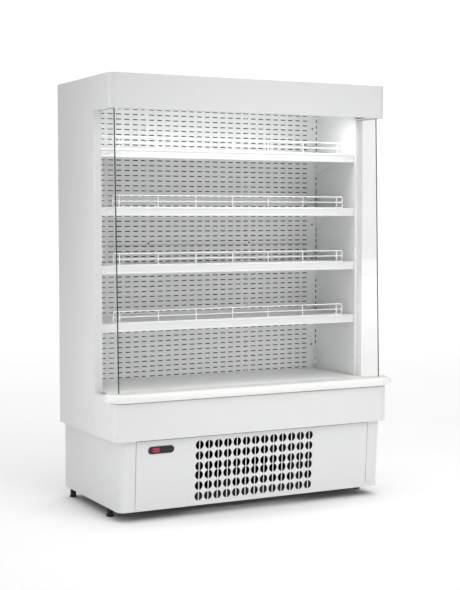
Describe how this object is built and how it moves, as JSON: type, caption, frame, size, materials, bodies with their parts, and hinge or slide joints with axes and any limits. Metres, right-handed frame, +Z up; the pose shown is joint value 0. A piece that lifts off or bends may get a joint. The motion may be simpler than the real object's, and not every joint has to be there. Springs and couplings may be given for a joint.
{
  "type": "open multideck display fridge",
  "caption": "Open-fronted refrigerated display cabinet with slotted back duct, sliding shelves, wire risers, side glass, bumper and grilled machine plinth.",
  "frame": {"origin": "on the floor, midway across the width and midway between the bumper's front and the plinth's back", "axes": "+X to the cabinet's right as seen from the front, -Y out of the open front, +Z up"},
  "size_m": [1.504, 0.753, 2],
  "materials": {
    "white_painted_steel": "satin",
    "white_liner_steel": "satin",
    "white_shelf_steel": "satin",
    "white_coated_wire": "satin",
    "galvanised_steel": "satin",
    "foam_core": "matte",
    "clear_glass": "gloss",
    "white_bumper_plastic": "gloss",
    "opal_lamp": "gloss",
    "black_plastic": "matte",
    "red_display": "gloss",
    "grey_key_plastic": "matte",
    "black_enamel": "gloss",
    "aluminium_fins": "satin",
    "fan_plastic": "matte",
    "motor_steel": "satin",
    "copper_pipe": "satin",
    "screw_steel": "satin"
  },
  "bodies": {
    "cabinet": {"base_frame": "galvanised_steel", "left_wall_skin": "white_painted_steel", "left_wall_liner": "white_liner_steel", "right_wall_skin": "white_painted_steel", "right_wall_liner": "white_liner_steel", "rear_skin": "galvanised_steel", "rear_and_ceiling_liner": "white_liner_steel", "roof_skin": "white_painted_steel", "tub_liner": "galvanised_steel", "insulation_foam": "foam_core", "canopy_fascia": "white_painted_steel", "air_outlet_grille": "white_bumper_plastic", "ceiling_panel": "white_liner_steel", "lamp_tube": "opal_lamp", "upper_duct_panel": "white_liner_steel", "lower_duct_panel": "white_liner_steel", "shelf_uprights": "white_liner_steel", "belt_fascia": "white_painted_steel", "bumper_rail": "white_bumper_plastic", "bumper_end_caps": "white_bumper_plastic", "side_glass_left": "clear_glass", "side_glass_right": "clear_glass", "shelf_brackets_left": "white_liner_steel", "shelf_brackets_right": "white_liner_steel", "plinth_left": "white_painted_steel", "plinth_right": "white_painted_steel", "compressor": "black_enamel", "condenser_coil": "aluminium_fins", "condenser_shroud": "galvanised_steel", "evaporator_coil": "aluminium_fins", "fan_plate": "galvanised_steel", "fan_motors": "motor_steel", "drip_tray": "galvanised_steel", "electrical_box": "black_plastic", "refrigerant_pipes": "copper_pipe", "panel_screws": "screw_steel", "glass_clips": "white_bumper_plastic", "cable_gland": "black_plastic"},
    "foot_front_left": {"foot_front_left": "black_plastic"},
    "foot_front_right": {"foot_front_right": "black_plastic"},
    "foot_rear_left": {"foot_rear_left": "black_plastic"},
    "foot_rear_right": {"foot_rear_right": "black_plastic"},
    "shelf_1": {"shelf_tray_1": "white_shelf_steel"},
    "shelf_2": {"shelf_tray_2": "white_shelf_steel"},
    "shelf_3": {"shelf_tray_3": "white_shelf_steel"},
    "shelf_4": {"shelf_tray_4": "white_shelf_steel"},
    "rail_1": {"shelf_rail_1": "white_coated_wire"},
    "rail_2": {"shelf_rail_2": "white_coated_wire"},
    "rail_3": {"shelf_rail_3": "white_coated_wire"},
    "rail_4": {"shelf_rail_4": "white_coated_wire"},
    "deck": {"base_deck": "white_shelf_steel"},
    "return_grille": {"return_grille": "white_shelf_steel"},
    "front_panel": {"grille_panel": "white_painted_steel", "controller_body": "black_plastic", "controller_lens": "red_display"},
    "key_down": {"controller_key_down": "grey_key_plastic"},
    "key_up": {"controller_key_up": "grey_key_plastic"},
    "condenser_fan": {"condenser_fan": "fan_plastic"},
    "evaporator_fan_left": {"evaporator_fan_left": "fan_plastic"},
    "evaporator_fan_right": {"evaporator_fan_right": "fan_plastic"}
  },
  "joints": [
    {"name": "foot_front_left_turn", "type": "hinge", "parent": "cabinet", "child": "foot_front_left", "pos_m": [-0.6685, -0.1415, 0.02], "axis": [0, 0, 1], "continuous": true},
    {"name": "foot_rear_left_turn", "type": "hinge", "parent": "cabinet", "child": "foot_rear_left", "pos_m": [-0.6685, 0.3285, 0.02], "axis": [0, 0, 1], "continuous": true},
    {"name": "foot_front_right_turn", "type": "hinge", "parent": "cabinet", "child": "foot_front_right", "pos_m": [0.6685, -0.1415, 0.02], "axis": [0, 0, 1], "continuous": true},
    {"name": "foot_rear_right_turn", "type": "hinge", "parent": "cabinet", "child": "foot_rear_right", "pos_m": [0.6685, 0.3285, 0.02], "axis": [0, 0, 1], "continuous": true},
    {"name": "shelf_1_slide", "type": "slide", "parent": "cabinet", "child": "shelf_1", "axis": [0, -1, 0], "range_m": [0, 0.3]},
    {"name": "rail_1_lift", "type": "slide", "parent": "shelf_1", "child": "rail_1", "axis": [0, 0, 1], "range_m": [0, 0.05]},
    {"name": "shelf_2_slide", "type": "slide", "parent": "cabinet", "child": "shelf_2", "axis": [0, -1, 0], "range_m": [0, 0.3]},
    {"name": "rail_2_lift", "type": "slide", "parent": "shelf_2", "child": "rail_2", "axis": [0, 0, 1], "range_m": [0, 0.05]},
    {"name": "shelf_3_slide", "type": "slide", "parent": "cabinet", "child": "shelf_3", "axis": [0, -1, 0], "range_m": [0, 0.3]},
    {"name": "rail_3_lift", "type": "slide", "parent": "shelf_3", "child": "rail_3", "axis": [0, 0, 1], "range_m": [0, 0.05]},
    {"name": "shelf_4_slide", "type": "slide", "parent": "cabinet", "child": "shelf_4", "axis": [0, -1, 0], "range_m": [0, 0.3]},
    {"name": "rail_4_lift", "type": "slide", "parent": "shelf_4", "child": "rail_4", "axis": [0, 0, 1], "range_m": [0, 0.05]},
    {"name": "deck_lift", "type": "slide", "parent": "cabinet", "child": "deck", "axis": [0, 0, 1], "range_m": [0, 0.2]},
    {"name": "return_grille_lift", "type": "slide", "parent": "cabinet", "child": "return_grille", "axis": [0, 0, 1], "range_m": [0, 0.2]},
    {"name": "front_panel_pull", "type": "slide", "parent": "cabinet", "child": "front_panel", "axis": [0, -1, 0], "range_m": [0, 0.25]},
    {"name": "key_down_press", "type": "slide", "parent": "front_panel", "child": "key_down", "axis": [0, 0.9981, 0.0614], "range_m": [0, 0.0008], "stiffness_N_per_m": 600, "springref_m": -0.0005},
    {"name": "key_up_press", "type": "slide", "parent": "front_panel", "child": "key_up", "axis": [0, 0.9981, 0.0614], "range_m": [0, 0.0008], "stiffness_N_per_m": 600, "springref_m": -0.0005},
    {"name": "condenser_fan_spin", "type": "hinge", "parent": "cabinet", "child": "condenser_fan", "pos_m": [-0.008, -0.133, 0.217], "axis": [0, -1, 0], "continuous": true},
    {"name": "evaporator_fan_left_spin", "type": "hinge", "parent": "cabinet", "child": "evaporator_fan_left", "pos_m": [-0.3, -0.05775, 0.487], "axis": [0, -1, 0], "continuous": true},
    {"name": "evaporator_fan_right_spin", "type": "hinge", "parent": "cabinet", "child": "evaporator_fan_right", "pos_m": [0.3, -0.05775, 0.487], "axis": [0, -1, 0], "continuous": true}
  ]
}
